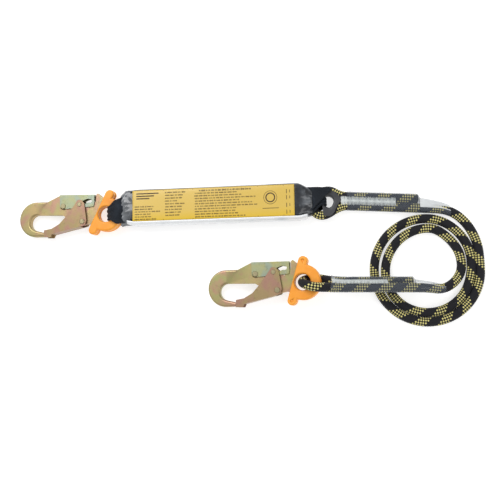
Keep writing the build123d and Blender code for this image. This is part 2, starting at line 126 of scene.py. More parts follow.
def grid_faces(rows, columns, closed):
    """Quads of a grid of points, rows + 1 lines of points, closed round each line or open."""
    width = columns if closed else columns + 1
    faces = []
    for row in range(rows):
        for column in range(columns):
            after = (column + 1) % width if closed else column + 1
            a, b = row * width + column, row * width + after
            faces.append((a, b, b + width, a + width))
    return faces


def modifier(obj, kind, **settings):
    """A modifier with its settings."""
    made = obj.modifiers.new(kind.lower(), kind)
    for key, value in settings.items():
        setattr(made, key, value)
    return made


def smooth_line(points):
    """The points down the middle of a NURBS curve that has a route's points as its own."""
    data = bpy.data.curves.new("route", "CURVE")
    data.dimensions = "3D"
    data.resolution_u = 24
    spline = data.splines.new("NURBS")
    spline.points.add(len(points) - 1)
    for spot, point in zip(spline.points, points):
        spot.co = (*point, 1)
    spline.order_u = 3
    spline.use_endpoint_u = True
    holder = bpy.data.objects.new("route", data)
    mesh = bpy.data.meshes.new_from_object(holder)
    line = np.array([v.co for v in mesh.vertices], float).reshape(-1, 3)
    bpy.data.meshes.remove(mesh)
    bpy.data.objects.remove(holder)
    return line


def evenly(line, step):
    """A line's points again, a step apart, with how far along each lies."""
    along = np.concatenate([[0], np.cumsum(np.linalg.norm(np.diff(line, axis=0), axis=1))])
    count = ceil(along[-1] / step) + 1
    at = np.linspace(0, along[-1], count)
    return np.stack([np.interp(at, along, line[:, k]) for k in range(3)], axis=1), at


def side_directions(line):
    """Two directions square to a line at each of its points, that turn as little as they can."""
    ahead = np.gradient(line, axis=0)
    ahead /= np.linalg.norm(ahead, axis=1)[:, None]
    first = np.zeros_like(line)
    first[0] = np.cross(ahead[0], (0, 0, 1))
    first[0] /= np.linalg.norm(first[0])
    for i in range(1, len(line)):
        turned = first[i - 1] - ahead[i] * (first[i - 1] @ ahead[i])
        first[i] = turned / np.linalg.norm(turned)
    return first, np.cross(ahead, first)


def tube_points(line, radii, sides):
    """Rings of points round a line, with one radius for each ring or for each of its points."""
    first, second = side_directions(line)
    angle = (np.arange(sides) * 2 * pi / sides)[None, :, None]
    across = first[:, None] * np.cos(angle) + second[:, None] * np.sin(angle)
    return (line[:, None] + across * np.reshape(radii, (len(line), -1, 1))).reshape(-1, 3)


def tube_faces(rings, sides):
    """The quads of a tube of rings, and a face over each of its ends."""
    faces = grid_faces(rings - 1, sides, True)
    faces.append(tuple(range(sides))[::-1])
    faces.append(tuple(range((rings - 1) * sides, rings * sides)))
    return faces


def thread(name, points, radius, material, sides=6):
    """A thin closed tube through points, such as a sewing thread."""
    line = np.array(points, float)
    rings = tube_points(line, [radius] * len(line), sides)
    return add_mesh(name, rings, tube_faces(len(line), sides), material)


def apply_modifiers(obj):
    """Make what an object's modifiers give its own mesh."""
    graph = bpy.context.evaluated_depsgraph_get()
    shaped = bpy.data.meshes.new_from_object(obj.evaluated_get(graph))
    obj.modifiers.clear()
    obj.data = shaped


def joined(name, objects):
    """Several mesh objects as one."""
    bpy.ops.object.select_all(action="DESELECT")
    for obj in objects:
        obj.select_set(True)
    bpy.context.view_layer.objects.active = objects[0]
    bpy.ops.object.join()
    objects[0].name = name
    objects[0].data.name = name
    return objects[0]


# ---- material helpers ----
def new_material(name, **sockets):
    """A node material, with its shader's plain values set."""
    material = bpy.data.materials.new(name)
    material.use_nodes = True
    shader = material.node_tree.nodes["Principled BSDF"]
    for key, value in sockets.items():
        shader.inputs[key.replace("_", " ")].default_value = value
    return material, material.node_tree, shader


def node(tree, kind, settings=None, **inputs):
    """A shader node with its settings, and its inputs set or linked."""
    made = tree.nodes.new(kind)
    for key, value in (settings or {}).items():
        setattr(made, key, value)
    for key, value in inputs.items():
        name = key.replace("_", " ")
        if isinstance(value, bpy.types.NodeSocket):
            tree.links.new(value, made.inputs[name])
        else:
            made.inputs[name].default_value = value
    return made


def maths(tree, operation, *values):
    """A maths node's result."""
    made = tree.nodes.new("ShaderNodeMath")
    made.operation = operation
    for slot, value in zip(made.inputs, values):
        if isinstance(value, bpy.types.NodeSocket):
            tree.links.new(value, slot)
        else:
            slot.default_value = value
    return made.outputs[0]


def mixed(tree, share, first, second):
    """Two colours mixed by a share."""
    made = tree.nodes.new("ShaderNodeMix")
    made.data_type = "RGBA"
    for slot, value in ((made.inputs[0], share), (made.inputs[6], first), (made.inputs[7], second)):
        if isinstance(value, bpy.types.NodeSocket):
            tree.links.new(value, slot)
        else:
            slot.default_value = value
    return made.outputs[2]


def place(tree, scale=(1, 1, 1)):
    """Where a point of the surface is, in metres, scaled."""
    spot = tree.nodes.new("ShaderNodeTexCoord").outputs["Object"]
    return node(tree, "ShaderNodeMapping", Vector=spot, Scale=scale).outputs["Vector"]


def cloud(tree, where, scale, detail=4.0, rough=0.55):
    """A cloudy noise, 0 to 1."""
    made = node(tree, "ShaderNodeTexNoise", Vector=where, Scale=scale, Detail=detail, Roughness=rough)
    return made.outputs["Fac"]


def between(tree, value, low, high, to_low=0.0, to_high=1.0):
    """A value's place between two others, as a share of a new range."""
    made = node(tree, "ShaderNodeMapRange", None, Value=value, From_Min=low, From_Max=high)
    made.inputs["To Min"].default_value = to_low
    made.inputs["To Max"].default_value = to_high
    return made.outputs[0]


def bump(tree, shader, height, strength, distance):
    """Link a height to the shader's normal."""
    made = node(tree, "ShaderNodeBump", Height=height, Strength=strength, Distance=distance)
    tree.links.new(made.outputs[0], shader.inputs["Normal"])


def colour(red, green, blue):
    """A shader colour from red, green and blue as seen on a screen, 0 to 255."""
    def linear(value):
        value /= 255
        return value / 12.92 if value < 0.04045 else ((value + 0.055) / 1.055) ** 2.4
    return (linear(red), linear(green), linear(blue), 1.0)


# ---- materials ----
def zinc_material(name, warm, cool, blush, dark):
    """Yellow-chromate zinc plate: satin metal with patches of green, straw and pink tint."""
    material, tree, shader = new_material(name, Metallic=0.62, Specular_IOR_Level=0.5)
    where = place(tree)
    patches = between(tree, cloud(tree, where, 34.0, 2.0), 0.36, 0.64)
    blushes = between(tree, cloud(tree, place(tree, (1.3, 0.9, 1.0)), 52.0, 3.0), 0.44, 0.62)
    grain = cloud(tree, where, 2600.0, 3.0, 0.7)
    tint = mixed(tree, patches, warm, cool)
    tint = mixed(tree, blushes, tint, blush)
    stains = between(tree, cloud(tree, where, 190.0, 5.0, 0.7), 0.58, 0.80, 0.0, 0.55)
    tint = mixed(tree, stains, tint, dark)
    speckle = between(tree, grain, 0.35, 0.7, 0.0, 0.16)
    tint = mixed(tree, speckle, tint, dark)
    tree.links.new(tint, shader.inputs["Base Color"])
    tree.links.new(between(tree, grain, 0.3, 0.7, 0.30, 0.46), shader.inputs["Roughness"])
    bump(tree, shader, grain, 0.16, 0.0002)
    return material


def steel_material(name, tint, rough):
    """Plain zinc or spring steel, faintly scratched."""
    material, tree, shader = new_material(name, Metallic=0.85)
    grain = cloud(tree, place(tree), 1500.0, 4.0, 0.7)
    dark = tuple(0.55 * v for v in tint[:3]) + (1.0,)
    shade = mixed(tree, between(tree, grain, 0.3, 0.75), tint, dark)
    tree.links.new(shade, shader.inputs["Base Color"])
    matt = between(tree, grain, 0.3, 0.7, rough - 0.06, rough + 0.10)
    tree.links.new(matt, shader.inputs["Roughness"])
    bump(tree, shader, grain, 0.2, 0.0001)
    return material


def moulded_material(name, tint, deep, rough):
    """Moulded plastic with a fine pebbled skin."""
    material, tree, shader = new_material(name, Specular_IOR_Level=0.45)
    where = place(tree)
    skin = cloud(tree, where, 900.0, 2.0, 0.6)
    wide = cloud(tree, where, 60.0, 3.0)
    shade = mixed(tree, between(tree, wide, 0.35, 0.7), tint, deep)
    tree.links.new(shade, shader.inputs["Base Color"])
    matt = between(tree, skin, 0.3, 0.7, rough - 0.05, rough + 0.08)
    tree.links.new(matt, shader.inputs["Roughness"])
    bump(tree, shader, skin, 0.12, 0.0002)
    return material


def rope_material():
    """The braid's crossings: black strands, and one group of yellow ones that wind round."""
    material, tree, shader = new_material(
        "rope", Roughness=0.75, Specular_IOR_Level=0.25, Sheen_Weight=0.08, Sheen_Roughness=0.5,
    )
    grid = node(tree, "ShaderNodeUVMap", {"uv_map": "grid"}).outputs[0]
    spot = node(tree, "ShaderNodeSeparateXYZ", Vector=grid)
    one_way = maths(tree, "ADD", spot.outputs["Y"], spot.outputs["X"])
    other_way = maths(tree, "SUBTRACT", spot.outputs["Y"], spot.outputs["X"])
    strand = maths(tree, "FLOOR", one_way)
    both = maths(tree, "ADD", strand, maths(tree, "FLOOR", other_way))
    under = maths(tree, "FLOORED_MODULO", both, 2.0)
    on_top = maths(tree, "LESS_THAN", under, 0.5)
    which = maths(tree, "FLOORED_MODULO", strand, float(STRANDS))
    yellow = maths(tree, "LESS_THAN", which, YELLOW_STRANDS - 0.5)
    reach = maths(
        tree, "MAXIMUM",
        maths(tree, "ABSOLUTE", maths(tree, "SUBTRACT", maths(tree, "FRACT", one_way), 0.5)),
        maths(tree, "ABSOLUTE", maths(tree, "SUBTRACT", maths(tree, "FRACT", other_way), 0.5)),
    )
    inside = between(tree, reach, 0.34, 0.47, 1.0, 0.0)
    yarn = maths(tree, "SINE", maths(tree, "MULTIPLY", one_way, 2 * pi * 5))
    cross_yarn = maths(tree, "SINE", maths(tree, "MULTIPLY", other_way, 2 * pi * 5))
    lines = maths(
        tree, "ADD",
        maths(tree, "MULTIPLY", yarn, on_top),
        maths(tree, "MULTIPLY", cross_yarn, under),
    )
    fuzz = cloud(tree, place(tree), 3200.0, 2.0, 0.7)
    black = mixed(tree, fuzz, colour(10, 10, 13), colour(34, 34, 40))
    gold = mixed(tree, fuzz, colour(196, 184, 92), colour(240, 232, 164))
    seen_gold = maths(tree, "MULTIPLY", maths(tree, "MULTIPLY", on_top, yellow), inside)
    tint = mixed(tree, seen_gold, black, gold)
    tree.links.new(tint, shader.inputs["Base Color"])
    height = maths(tree, "ADD", maths(tree, "MULTIPLY", lines, 0.35), maths(tree, "MULTIPLY", inside, 1.0))
    bump(tree, shader, height, 0.5, 0.00012)
    return material


def webbing_material():
    """Black woven webbing: fine ribs along it, crossed by the weft."""
    material, tree, shader = new_material(
        "webbing", Roughness=0.6, Specular_IOR_Level=0.2, Sheen_Weight=0.06, Sheen_Roughness=0.4,
    )
    grid = node(tree, "ShaderNodeUVMap", {"uv_map": "grid"}).outputs[0]
    spot = node(tree, "ShaderNodeSeparateXYZ", Vector=grid)
    ribs = maths(tree, "SINE", maths(tree, "MULTIPLY", spot.outputs["X"], 2 * pi / 0.0014))
    shift = maths(tree, "MULTIPLY", maths(tree, "SIGN", ribs), pi / 2)
    crossing = maths(tree, "ADD", maths(tree, "MULTIPLY", spot.outputs["Y"], 2 * pi / 0.0020), shift)
    weft = between(tree, maths(tree, "SINE", crossing), -1.0, 1.0, 0.35, 1.0)
    weave = maths(tree, "MULTIPLY", maths(tree, "ABSOLUTE", ribs), weft)
    wide = cloud(tree, place(tree), 70.0, 3.0)
    tint = mixed(tree, weave, colour(6, 8, 11), colour(34, 42, 53))
    tint = mixed(tree, between(tree, wide, 0.5, 0.75, 0.0, 0.3), tint, colour(58, 70, 84))
    tree.links.new(tint, shader.inputs["Base Color"])
    bump(tree, shader, weave, 0.55, 0.0003)
    return material


def film_material(dark, light, side):
    """Glossy shrink film over dark webbing, milky in random patches; side is a pale grey, painted as
    highlight towards the harness mouth, on the milky crumples at the rope mouth and on the creases.
    """
    material, tree, shader = new_material(
        "film", Specular_IOR_Level=0.5, Coat_Weight=0.5, Coat_Roughness=0.08,
    )
    where = place(tree)
    creases = cloud(tree, place(tree, (1.0, 0.45, 0.45)), 150.0, 5.0, 0.6)
    milky = between(tree, cloud(tree, where, 60.0, 4.0), 0.42, 0.72)
    tint = mixed(tree, milky, dark, light)
    spot = node(tree, "ShaderNodeSeparateXYZ", Vector=where)
    # painted highlight: the film turns pale grey towards the harness mouth, where it faces the light and
    # reflects it
    harness_end_highlight = between(tree, spot.outputs["X"], -0.120, -0.100, 0.75, 0.0)
    tint = mixed(tree, harness_end_highlight, tint, side)
    # partly milky film, partly painted highlight: pale grey on the crumples at the rope mouth, where the
    # film is milky
    rope_end_milk_and_highlight = maths(tree, "MULTIPLY", between(tree, spot.outputs["X"], 0.108, 0.114), milky)
    tint = mixed(tree, maths(tree, "MULTIPLY", rope_end_milk_and_highlight, 0.8), tint, side)
    # painted glints: pale grey where the crease noise is high
    glints = between(tree, creases, 0.60, 0.72, 0.0, 0.5)
    tint = mixed(tree, glints, tint, side)
    tree.links.new(tint, shader.inputs["Base Color"])
    tree.links.new(between(tree, creases, 0.3, 0.7, 0.14, 0.34), shader.inputs["Roughness"])
    bump(tree, shader, creases, 0.5, 0.0007)
    return material


def strip_material():
    """A pale strip along the pack's edge, painted with the white highlight of the film's side: brighter in
    speckles, with painted shade in blue-grey fold streaks.
    """
    material, tree, shader = new_material("side_strip", Metallic=0.15, Coat_Weight=0.4, Coat_Roughness=0.15)
    where = place(tree)
    glint_speckle = cloud(tree, where, 1300.0, 2.0, 0.8)
    fold_shade = cloud(tree, place(tree, (0.35, 1.0, 1.0)), 120.0, 3.0)
    # painted highlight: white, brighter in speckles, for the white highlight along the film's side
    tint = mixed(tree, between(tree, glint_speckle, 0.35, 0.7), colour(222, 226, 230), colour(255, 255, 255))
    # painted shade: blue-grey streaks where the fold noise is high
    tint = mixed(tree, between(tree, fold_shade, 0.55, 0.75, 0.0, 0.4), tint, colour(160, 170, 182))
    tree.links.new(tint, shader.inputs["Base Color"])
    tree.links.new(between(tree, glint_speckle, 0.3, 0.7, 0.35, 0.55), shader.inputs["Roughness"])
    bump(tree, shader, glint_speckle, 0.2, 0.0002)
    return material


def label_material():
    """Yellow printed vinyl, stronger towards its front edge, with faint handling marks."""
    material, tree, shader = new_material("label", Coat_Weight=0.25, Coat_Roughness=0.2)
    where = place(tree)
    spot = node(tree, "ShaderNodeSeparateXYZ", Vector=where)
    wave = maths(tree, "MULTIPLY", cloud(tree, where, 22.0, 2.0), 0.010)
    front = between(tree, maths(tree, "ADD", spot.outputs["Y"], wave), -0.016, -0.002, 1.0, 0.0)
    tint = mixed(tree, front, colour(212, 179, 78), colour(220, 182, 34))
    marks = between(tree, cloud(tree, where, 420.0, 4.0, 0.7), 0.55, 0.8, 0.0, 0.3)
    tint = mixed(tree, marks, tint, colour(184, 146, 48))
    tree.links.new(tint, shader.inputs["Base Color"])
    matt = between(tree, cloud(tree, where, 500.0), 0.3, 0.7, 0.34, 0.48)
    tree.links.new(matt, shader.inputs["Roughness"])
    bump(tree, shader, cloud(tree, where, 90.0, 3.0), 0.25, 0.0006)
    return material


def ink_material():
    """Dark brown ink, worn in spots."""
    material, tree, shader = new_material("ink", Roughness=0.6)
    worn = between(tree, cloud(tree, place(tree), 1600.0, 3.0, 0.7), 0.5, 0.75, 0.0, 0.6)
    tint = mixed(tree, worn, colour(52, 36, 18), colour(128, 98, 42))
    tree.links.new(tint, shader.inputs["Base Color"])
    return material


def thread_material():
    """Twisted bonded thread, off-white."""
    material, tree, shader = new_material("stitch", Roughness=0.6, Sheen_Weight=0.2)
    twist = cloud(tree, place(tree), 2400.0, 2.0, 0.6)
    tint = mixed(tree, between(tree, twist, 0.3, 0.7), colour(186, 194, 192), colour(238, 242, 240))
    tree.links.new(tint, shader.inputs["Base Color"])
    bump(tree, shader, twist, 0.4, 0.0003)
    return material


def clear_material(name, tint, alpha):
    """Clear shrink sleeve: glossy, faintly grey, see-through."""
    material, tree, shader = new_material(
        name, Alpha=alpha, Specular_IOR_Level=0.55, Coat_Weight=0.6, Coat_Roughness=0.06,
    )
    creases = cloud(tree, place(tree, (0.5, 1.0, 1.0)), 240.0, 4.0, 0.6)
    pale = tuple(min(1.0, 1.35 * v) for v in tint)
    tree.links.new(mixed(tree, creases, tint, pale), shader.inputs["Base Color"])
    tree.links.new(between(tree, creases, 0.3, 0.7, 0.12, 0.28), shader.inputs["Roughness"])
    bump(tree, shader, creases, 0.4, 0.0006)
    material.surface_render_method = "BLENDED"
    return material


FORGED = zinc_material(
    "zinc_forging", colour(186, 162, 114), colour(166, 164, 110), colour(182, 144, 120), colour(88, 70, 44),
)
GATE_ZINC = zinc_material(
    "zinc_gate", colour(170, 142, 108), colour(160, 146, 98), colour(168, 130, 112), colour(78, 60, 40),
)
LOCK_ZINC = zinc_material(
    "zinc_lock", colour(160, 168, 136), colour(176, 168, 108), colour(152, 164, 146), colour(86, 82, 46),
)
RIVET = steel_material("rivet", colour(176, 166, 130), 0.34)
SPRING = steel_material("spring", colour(120, 118, 108), 0.38)
ORANGE = moulded_material("guard", colour(250, 168, 58), colour(240, 150, 40), 0.42)
GREY = moulded_material("thimble", colour(66, 66, 69), colour(50, 51, 55), 0.40)
ROPE = rope_material()
WEBBING = webbing_material()
# the third colour, a pale grey, is the film's painted highlight at its mouths and on its creases
FILM = film_material(colour(24, 27, 33), colour(62, 68, 76), colour(124, 128, 132))
STRIP = strip_material()
LABEL = label_material()
INK = ink_material()
THREAD = thread_material()
SLEEVE = clear_material("sleeve", colour(104, 112, 122), 0.16)
MILKY = clear_material("sleeve_tail", colour(218, 221, 223), 0.62)


# ---- rope ----
def coil_points():
    """The coil's turns, clockwise and inwards from its right-hand side."""
    points = []
    for swept in range(COIL_FIRST_DEG, COIL_LAST_DEG + 1, COIL_STEP_DEG):
        drop = min(1.0, max(0.0, (swept - RAMP_FROM_DEG) / RAMP_DEG))
        angle = radians(-swept)
        loose = LOOSE_GAP * max(0.0, cos(angle - radians(LOOSE_DEG))) ** 2 if swept > 360 else 0.0
        radius = (COIL_R - COIL_PITCH * drop - loose) / cos(radians(COIL_STEP_DEG / 2))
        points.append((COIL_C[0] + radius * cos(angle), COIL_C[1] + radius * sin(angle), ROPE_R))
    return points


def make_rope():
    """One braided tube along the whole route, with a lift at each crossing of its strands."""
    per_cell = 4
    route = FIRST_ROUTE + coil_points() + SECOND_ROUTE
    line, along = evenly(smooth_line(route), STRAND_PITCH / STRANDS / per_cell)
    sides = per_cell * STRANDS
    cells_along = along / STRAND_PITCH * STRANDS
    cells_round = np.arange(sides + 1) / per_cell
    one_way = cells_along[:, None] + cells_round[None, :sides]
    other_way = cells_along[:, None] - cells_round[None, :sides]
    pillow = 1.0
    for cells in (one_way, other_way):
        off = 2 * np.abs(cells % 1 - 0.5)
        pillow = pillow * (1 - off ** 2)
    radii = ROPE_R - 0.4 * RELIEF + RELIEF * pillow
    closing = np.array([0.55, 0.85])
    radii[:2] *= closing[:, None]
    radii[-2:] *= closing[::-1, None]
    rope = add_mesh("rope", tube_points(line, radii, sides), tube_faces(len(line), sides), ROPE)
    set_uv(rope, len(line) - 1, sides, lambda r, c: cells_round[c], lambda r, c: cells_along[r])
    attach(rope, "root")
    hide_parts("rope_eye_end", "rope_coil", "rope_hook_end")
    return rope, line, along


def stretch(line, start, end):
    """The part of the rope's line between the points nearest to two places."""
    first = int(np.linalg.norm(line - np.array(start), axis=1).argmin())
    last = int(np.linalg.norm(line - np.array(end), axis=1).argmin())
    return line[min(first, last):max(first, last) + 1]


def legs_of(line, main_ends, tail_ends):
    """Pairs of points on a splice's two legs, a step apart along X, and where its tail ends."""
    main = stretch(line, *main_ends)
    tail = stretch(line, *tail_ends)
    main = main[np.argsort(main[:, 0])]
    tail = tail[np.argsort(tail[:, 0])]
    at = np.arange(main[0, 0], main[-1, 0], SPLICE_STEP)
    main_at = np.stack([at] + [np.interp(at, main[:, 0], main[:, k]) for k in (1, 2)], axis=1)
    tail_at = np.stack([at] + [np.interp(at, tail[:, 0], tail[:, k]) for k in (1, 2)], axis=1)
    return main_at, tail_at, tail[-1, 0]


def make_sleeve(name, node_name, main, tail, tail_end, fade):
    """A clear sleeve shrunk over both legs, which narrows to the main leg past the tail's end."""
    arc = 12
    rings = []
    milky_from = None
    for row, (m, t) in enumerate(zip(main, tail)):
        past = (m[0] - tail_end) / fade
        share = min(past * 10, 0.30 + 0.45 * past) if past > 0 else 0.0
        if past > 0.02 and milky_from is None:
            milky_from = row
        gap = (t - m) * (1.04 - share)
        wrinkle = 0.064 * MM * sin(m[0] * 640)
        wrinkle += 0.088 * MM * noise.noise(Vector((m[0] * 210, 3.0, 1.0)))
        main_r = ROPE_R + 0.66 * MM + wrinkle
        tail_r = main_r * (1 - 0.78 * share)
        unit = (t - m) / np.linalg.norm(t - m)
        ahead = main[min(row + 1, len(main) - 1)] - main[max(row - 1, 0)]
        up = np.cross(ahead, unit)
        up /= np.linalg.norm(up)
        ring = []
        for centre, radius, start in ((m + gap, tail_r, -90), (m, main_r, 90)):
            for k in range(arc + 1):
                a = radians(start + 180 * k / arc)
                crease = 1 + 0.012 * noise.noise(Vector((m[0] * 420, a * 2.2, 5.0)))
                ring.append(centre + (unit * cos(a) + up * sin(a)) * radius * crease)
            sag = 1.2 * MM * (1 - share)
            side = 1 if start < 0 else -1
            ring.append(m + gap / 2 + up * side * ((main_r + tail_r) / 2 - sag))
        rings.append(ring)
    columns = len(rings[0])
    points = [p for ring in rings for p in ring]
    sleeve = add_mesh(name, points, grid_faces(len(rings) - 1, columns, True), SLEEVE)
    sleeve.data.materials.append(MILKY)
    start = (milky_from or len(rings)) * columns
    for face in sleeve.data.polygons:
        if face.index >= start and face.index % columns <= arc + 1:
            face.material_index = 1
    modifier(sleeve, "SOLIDIFY", thickness=0.3 * MM, offset=1.0)
    modifier(sleeve, "SUBSURF", levels=1, render_levels=1)
    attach(sleeve, "root")
    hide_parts(node_name)
    return sleeve


def make_seizing(name, node_name, main, tail, ends, seed, width, lean):
    """Dense zigzag stitching over the valley between a splice's two legs."""
    rng = random.Random(seed)
    mid = (main + tail) / 2
    unit = tail[0] - main[0]
    half = np.linalg.norm(unit) / 2
    unit = unit / np.linalg.norm(unit)
    up = np.cross((1, 0, 0), unit)
    up = up / np.linalg.norm(up)
    if up[2] < 0:
        up = -up
    threads = []
    for layer, pitch in ((0, 1.05 * MM), (1, 1.4 * MM)):
        points = []
        at, side = ends[0], 1
        while at < ends[1]:
            centre = np.array([np.interp(at, mid[:, 0], mid[:, k]) for k in range(3)])
            reach = width / 2 + (rng.uniform(-0.6, 0.6) - 0.4 * layer) * MM
            for share in (0.35, 0.75, 1.0, 0.75, 0.35):
                out = reach * share * side + lean
                rest = abs(half - abs(out))
                height = sqrt(max(0.0, ROPE_R ** 2 - rest ** 2))
                if abs(out) < half:
                    height = max(4.7 * MM, height)
                height += (0.35 + 0.3 * layer) * MM
                if share == 1.0:
                    height -= 0.25 * MM
                drift = np.array([0.00012 * MM * len(points), 0, 0])
                points.append(centre + unit * out + up * height + drift)
            at += pitch / 2 * rng.uniform(0.85, 1.15)
            side = -side
        threads.append(thread(name + str(layer), points, 0.42 * MM, THREAD, 6))
    seizing = joined(name, threads)
    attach(seizing, "root")
    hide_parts(node_name)
    return seizing


def flange_reach(angle):
    """How far out the thimble's flange comes at an angle, with its corners eased."""
    at, reach = zip(*FLANGE_REACH)
    return sum(float(np.interp((angle + turn) % 360, at, reach)) for turn in (-4, -2, 0, 2, 4)) / 5


def make_thimble():
    """A grooved eye of moulded plastic with a wide flange, drawn out between the rope's legs."""
    low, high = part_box("thimble")
    middle = Vector((141.5 * MM, -1.1 * MM, (low.z + high.z) / 2))
    half = 6.35
    steps = 120
    points = []
    for step in range(steps):
        angle = 360 * step / steps
        flange = flange_reach(angle)
        beak = 1.6 * max(0.0, cos(radians(angle - 287))) ** 12
        hole = 6.7 + beak
        section = [
            (hole + 0.15, -half + 0.5), (hole - 0.1, 0.0), (hole + 0.15, half - 0.5), (hole + 0.9, half),
            (flange - 0.5, half), (flange, half - 0.3), (flange - 0.5, half - 0.6), (hole + 2.6, half - 0.7),
            (hole + 1.5, 3.0), (hole + 1.3, 0.0), (hole + 1.5, -3.0), (hole + 2.6, 0.7 - half),
            (flange - 0.5, 0.6 - half), (flange, 0.3 - half), (flange - 0.5, -half), (hole + 0.9, -half),
        ]
        for out, height in section:
            spot = Vector((out * cos(radians(angle)), out * sin(radians(angle)), height)) * MM
            points.append(middle + spot)
    columns = len(section)
    faces = []
    for step in range(steps):
        row, after = step * columns, (step + 1) % steps * columns
        for column in range(columns):
            beside = (column + 1) % columns
            faces.append((row + column, after + column, after + beside, row + beside))
    thimble = add_mesh("thimble_eye", points, faces, GREY)
    modifier(thimble, "SUBSURF", levels=1, render_levels=1)
    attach(thimble, "root")
    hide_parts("thimble")
    return thimble


# ---- pack ----
def rounded_section(half_w, low, high, corner, count):
    """Points round a rounded rectangle in the Y and Z plane, and each one's outward direction."""
    mid, half_h = (low + high) / 2, (high - low) / 2
    points = []
    for k in range(count):
        angle = 2 * pi * (k + 0.5) / count
        dy, dz = cos(angle), sin(angle)
        flat_w, flat_h = half_w - corner, half_h - corner
        grow = 1 / (abs(dy) ** 5 + abs(dz) ** 5) ** 0.2
        y = flat_w * grow * dy + corner * dy
        z = flat_h * grow * dz + corner * dz
        points.append((y, mid + z, dy, dz))
    return points


def make_film():
    """The film tube round the pack: drawn in and pleated at its two mouths."""
    low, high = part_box("film_cover")
    left, right = low.x, high.x
    top = high.z / MM - 0.4
    count, rows = 120, 150
    # X, then in mm the half width, the shift in Y, and the lowest and highest Z
    stations = [
        (left - 0.6 * MM, 19.6, -4.0, 1.0, 24.9), (left + 1.5 * MM, 20.6, -2.9, 0.6, 25.6),
        (left + 5.5 * MM, 22.4, -0.6, 0.2, 26.0), (left + 10 * MM, 22.9, 0.0, 0.0, top),
        (0.0, 22.6, 0.0, 0.0, top), (right - 15 * MM, 22.9, 0.0, 0.0, top),
        (right - 10.5 * MM, 21.4, 0.0, 0.0, 25.6), (right - 5 * MM, 18.6, -0.9, 0.0, 23.6),
        (right + 1.8 * MM, 16.4, -1.5, 0.1, 21.4),
    ]
    at = np.array([s[0] for s in stations])
    points = []
    for row in range(rows + 1):
        share = row / rows
        x = at[0] + (at[-1] - at[0]) * (0.5 - 0.5 * cos(pi * share))
        sizes = [float(np.interp(x, at, [s[k] for s in stations])) * MM for k in (1, 2, 3, 4)]
        half_w, shift, z_low, z_high = sizes
        from_end = min(x - at[0], at[-1] - x)
        crumple = max(0.0, 1 - from_end / (24 * MM))
        for k, (y, z, dy, dz) in enumerate(rounded_section(half_w, z_low, z_high, 4.2 * MM, count)):
            turn = 2 * pi * k / count
            pleat = noise.noise(Vector((x * 70, cos(turn) * 2.3, sin(turn) * 2.3 + 7)))
            pleat += 0.6 * noise.noise(Vector((x * 160, cos(turn) * 6.5, sin(turn) * 6.5)))
            slack = noise.noise(Vector((x * 34, cos(turn) * 1.4, sin(turn) * 1.4)))
            on_floor = 0.15 if dz < -0.5 else 1.0
            out = (-2.0 * crumple ** 1.2 * (0.5 + 1.2 * pleat) - 0.35 * abs(slack)) * MM * on_floor
            if dz > 0.6 and crumple < 0.5:
                out = min(out, 0.0)
            points.append((x, shift + y + out * dy, max(z + out * dz, 0.05 * MM)))
    film = add_mesh("film_wrap", points, grid_faces(rows, count, True), FILM)
    modifier(film, "SOLIDIFY", thickness=0.35 * MM, offset=-1.0)
    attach(film, "root")
    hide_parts("film_cover")
    return film


def label_height(x, y):
    """How high the label's printed face is, with the film's slight waves under it."""
    low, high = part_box("pack_label")
    wave = 0.20 * MM * noise.noise(Vector((x * 30, y * 40, 2.0)))
    drop = 0.5 * MM * (abs(y) / (high.y - low.y) * 2) ** 6
    return high.z + 0.1 * MM + wave - drop


def make_label():
    """The printed label, a thin sheet on the pack's top."""
    low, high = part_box("pack_label")
    rows, columns = 120, 24
    points = []
    for row in range(rows + 1):
        x = low.x + (high.x - low.x) * row / rows
        for column in range(columns + 1):
            y = low.y + (high.y - low.y) * column / columns
            points.append((x, y, label_height(x, y)))
    label = add_mesh("label_sheet", points, grid_faces(rows, columns, False), LABEL)
    modifier(label, "SOLIDIFY", thickness=0.3 * MM, offset=1.0)
    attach(label, "root")
    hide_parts("pack_label")
    return label


def make_strip():
    """The pale strip that wraps from under the label's front edge down the pack's side: a sheet that stands
    for the white highlight on the film's side.
    """
    low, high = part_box("pack_label")
    film_low, film_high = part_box("film_cover")
    rows, columns = 140, 14
    start, end = low.x - 8 * MM, film_high.x - 4 * MM
    side_y = film_low.y - 0.35 * MM
    points = []
    for row in range(rows + 1):
        x = start + (end - start) * row / rows
        ends = max(0.0, 1 - min(x - start, end - x) / (10 * MM))
        lift = 0.25 * MM * noise.noise(Vector((x * 55, 1.0, 4.0)))
        for column in range(columns + 1):
            share = column / columns
            turn = min(1.0, share / 0.35) * pi / 2
            corner = 4.4 * MM
            y = side_y + corner - corner * sin(turn)
            z = high.z - 0.55 * MM - corner + corner * cos(turn) - max(0.0, share - 0.35) / 0.65 * 11 * MM
            wave = 0.35 * MM * noise.noise(Vector((x * 80, share * 3, 9.0))) * share
            points.append((x, y + wave + lift * 0.4 + ends * 2.0 * MM, z - ends * 0.8 * MM))
    strip = add_mesh("side_strip", points, grid_faces(rows, columns, False), STRIP)
    modifier(strip, "SOLIDIFY", thickness=0.25 * MM, offset=0.0)
    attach(strip, "root")
    return strip


def bar(points, faces, x0, x1, y0, y1):
    """One printed bar laid on the label."""
    base = len(points)
    for x, y in ((x0, y0), (x1, y0), (x1, y1), (x0, y1)):
        points.append((x, y, label_height(x, y) + 0.05 * MM))
    faces.append((base, base + 1, base + 2, base + 3))


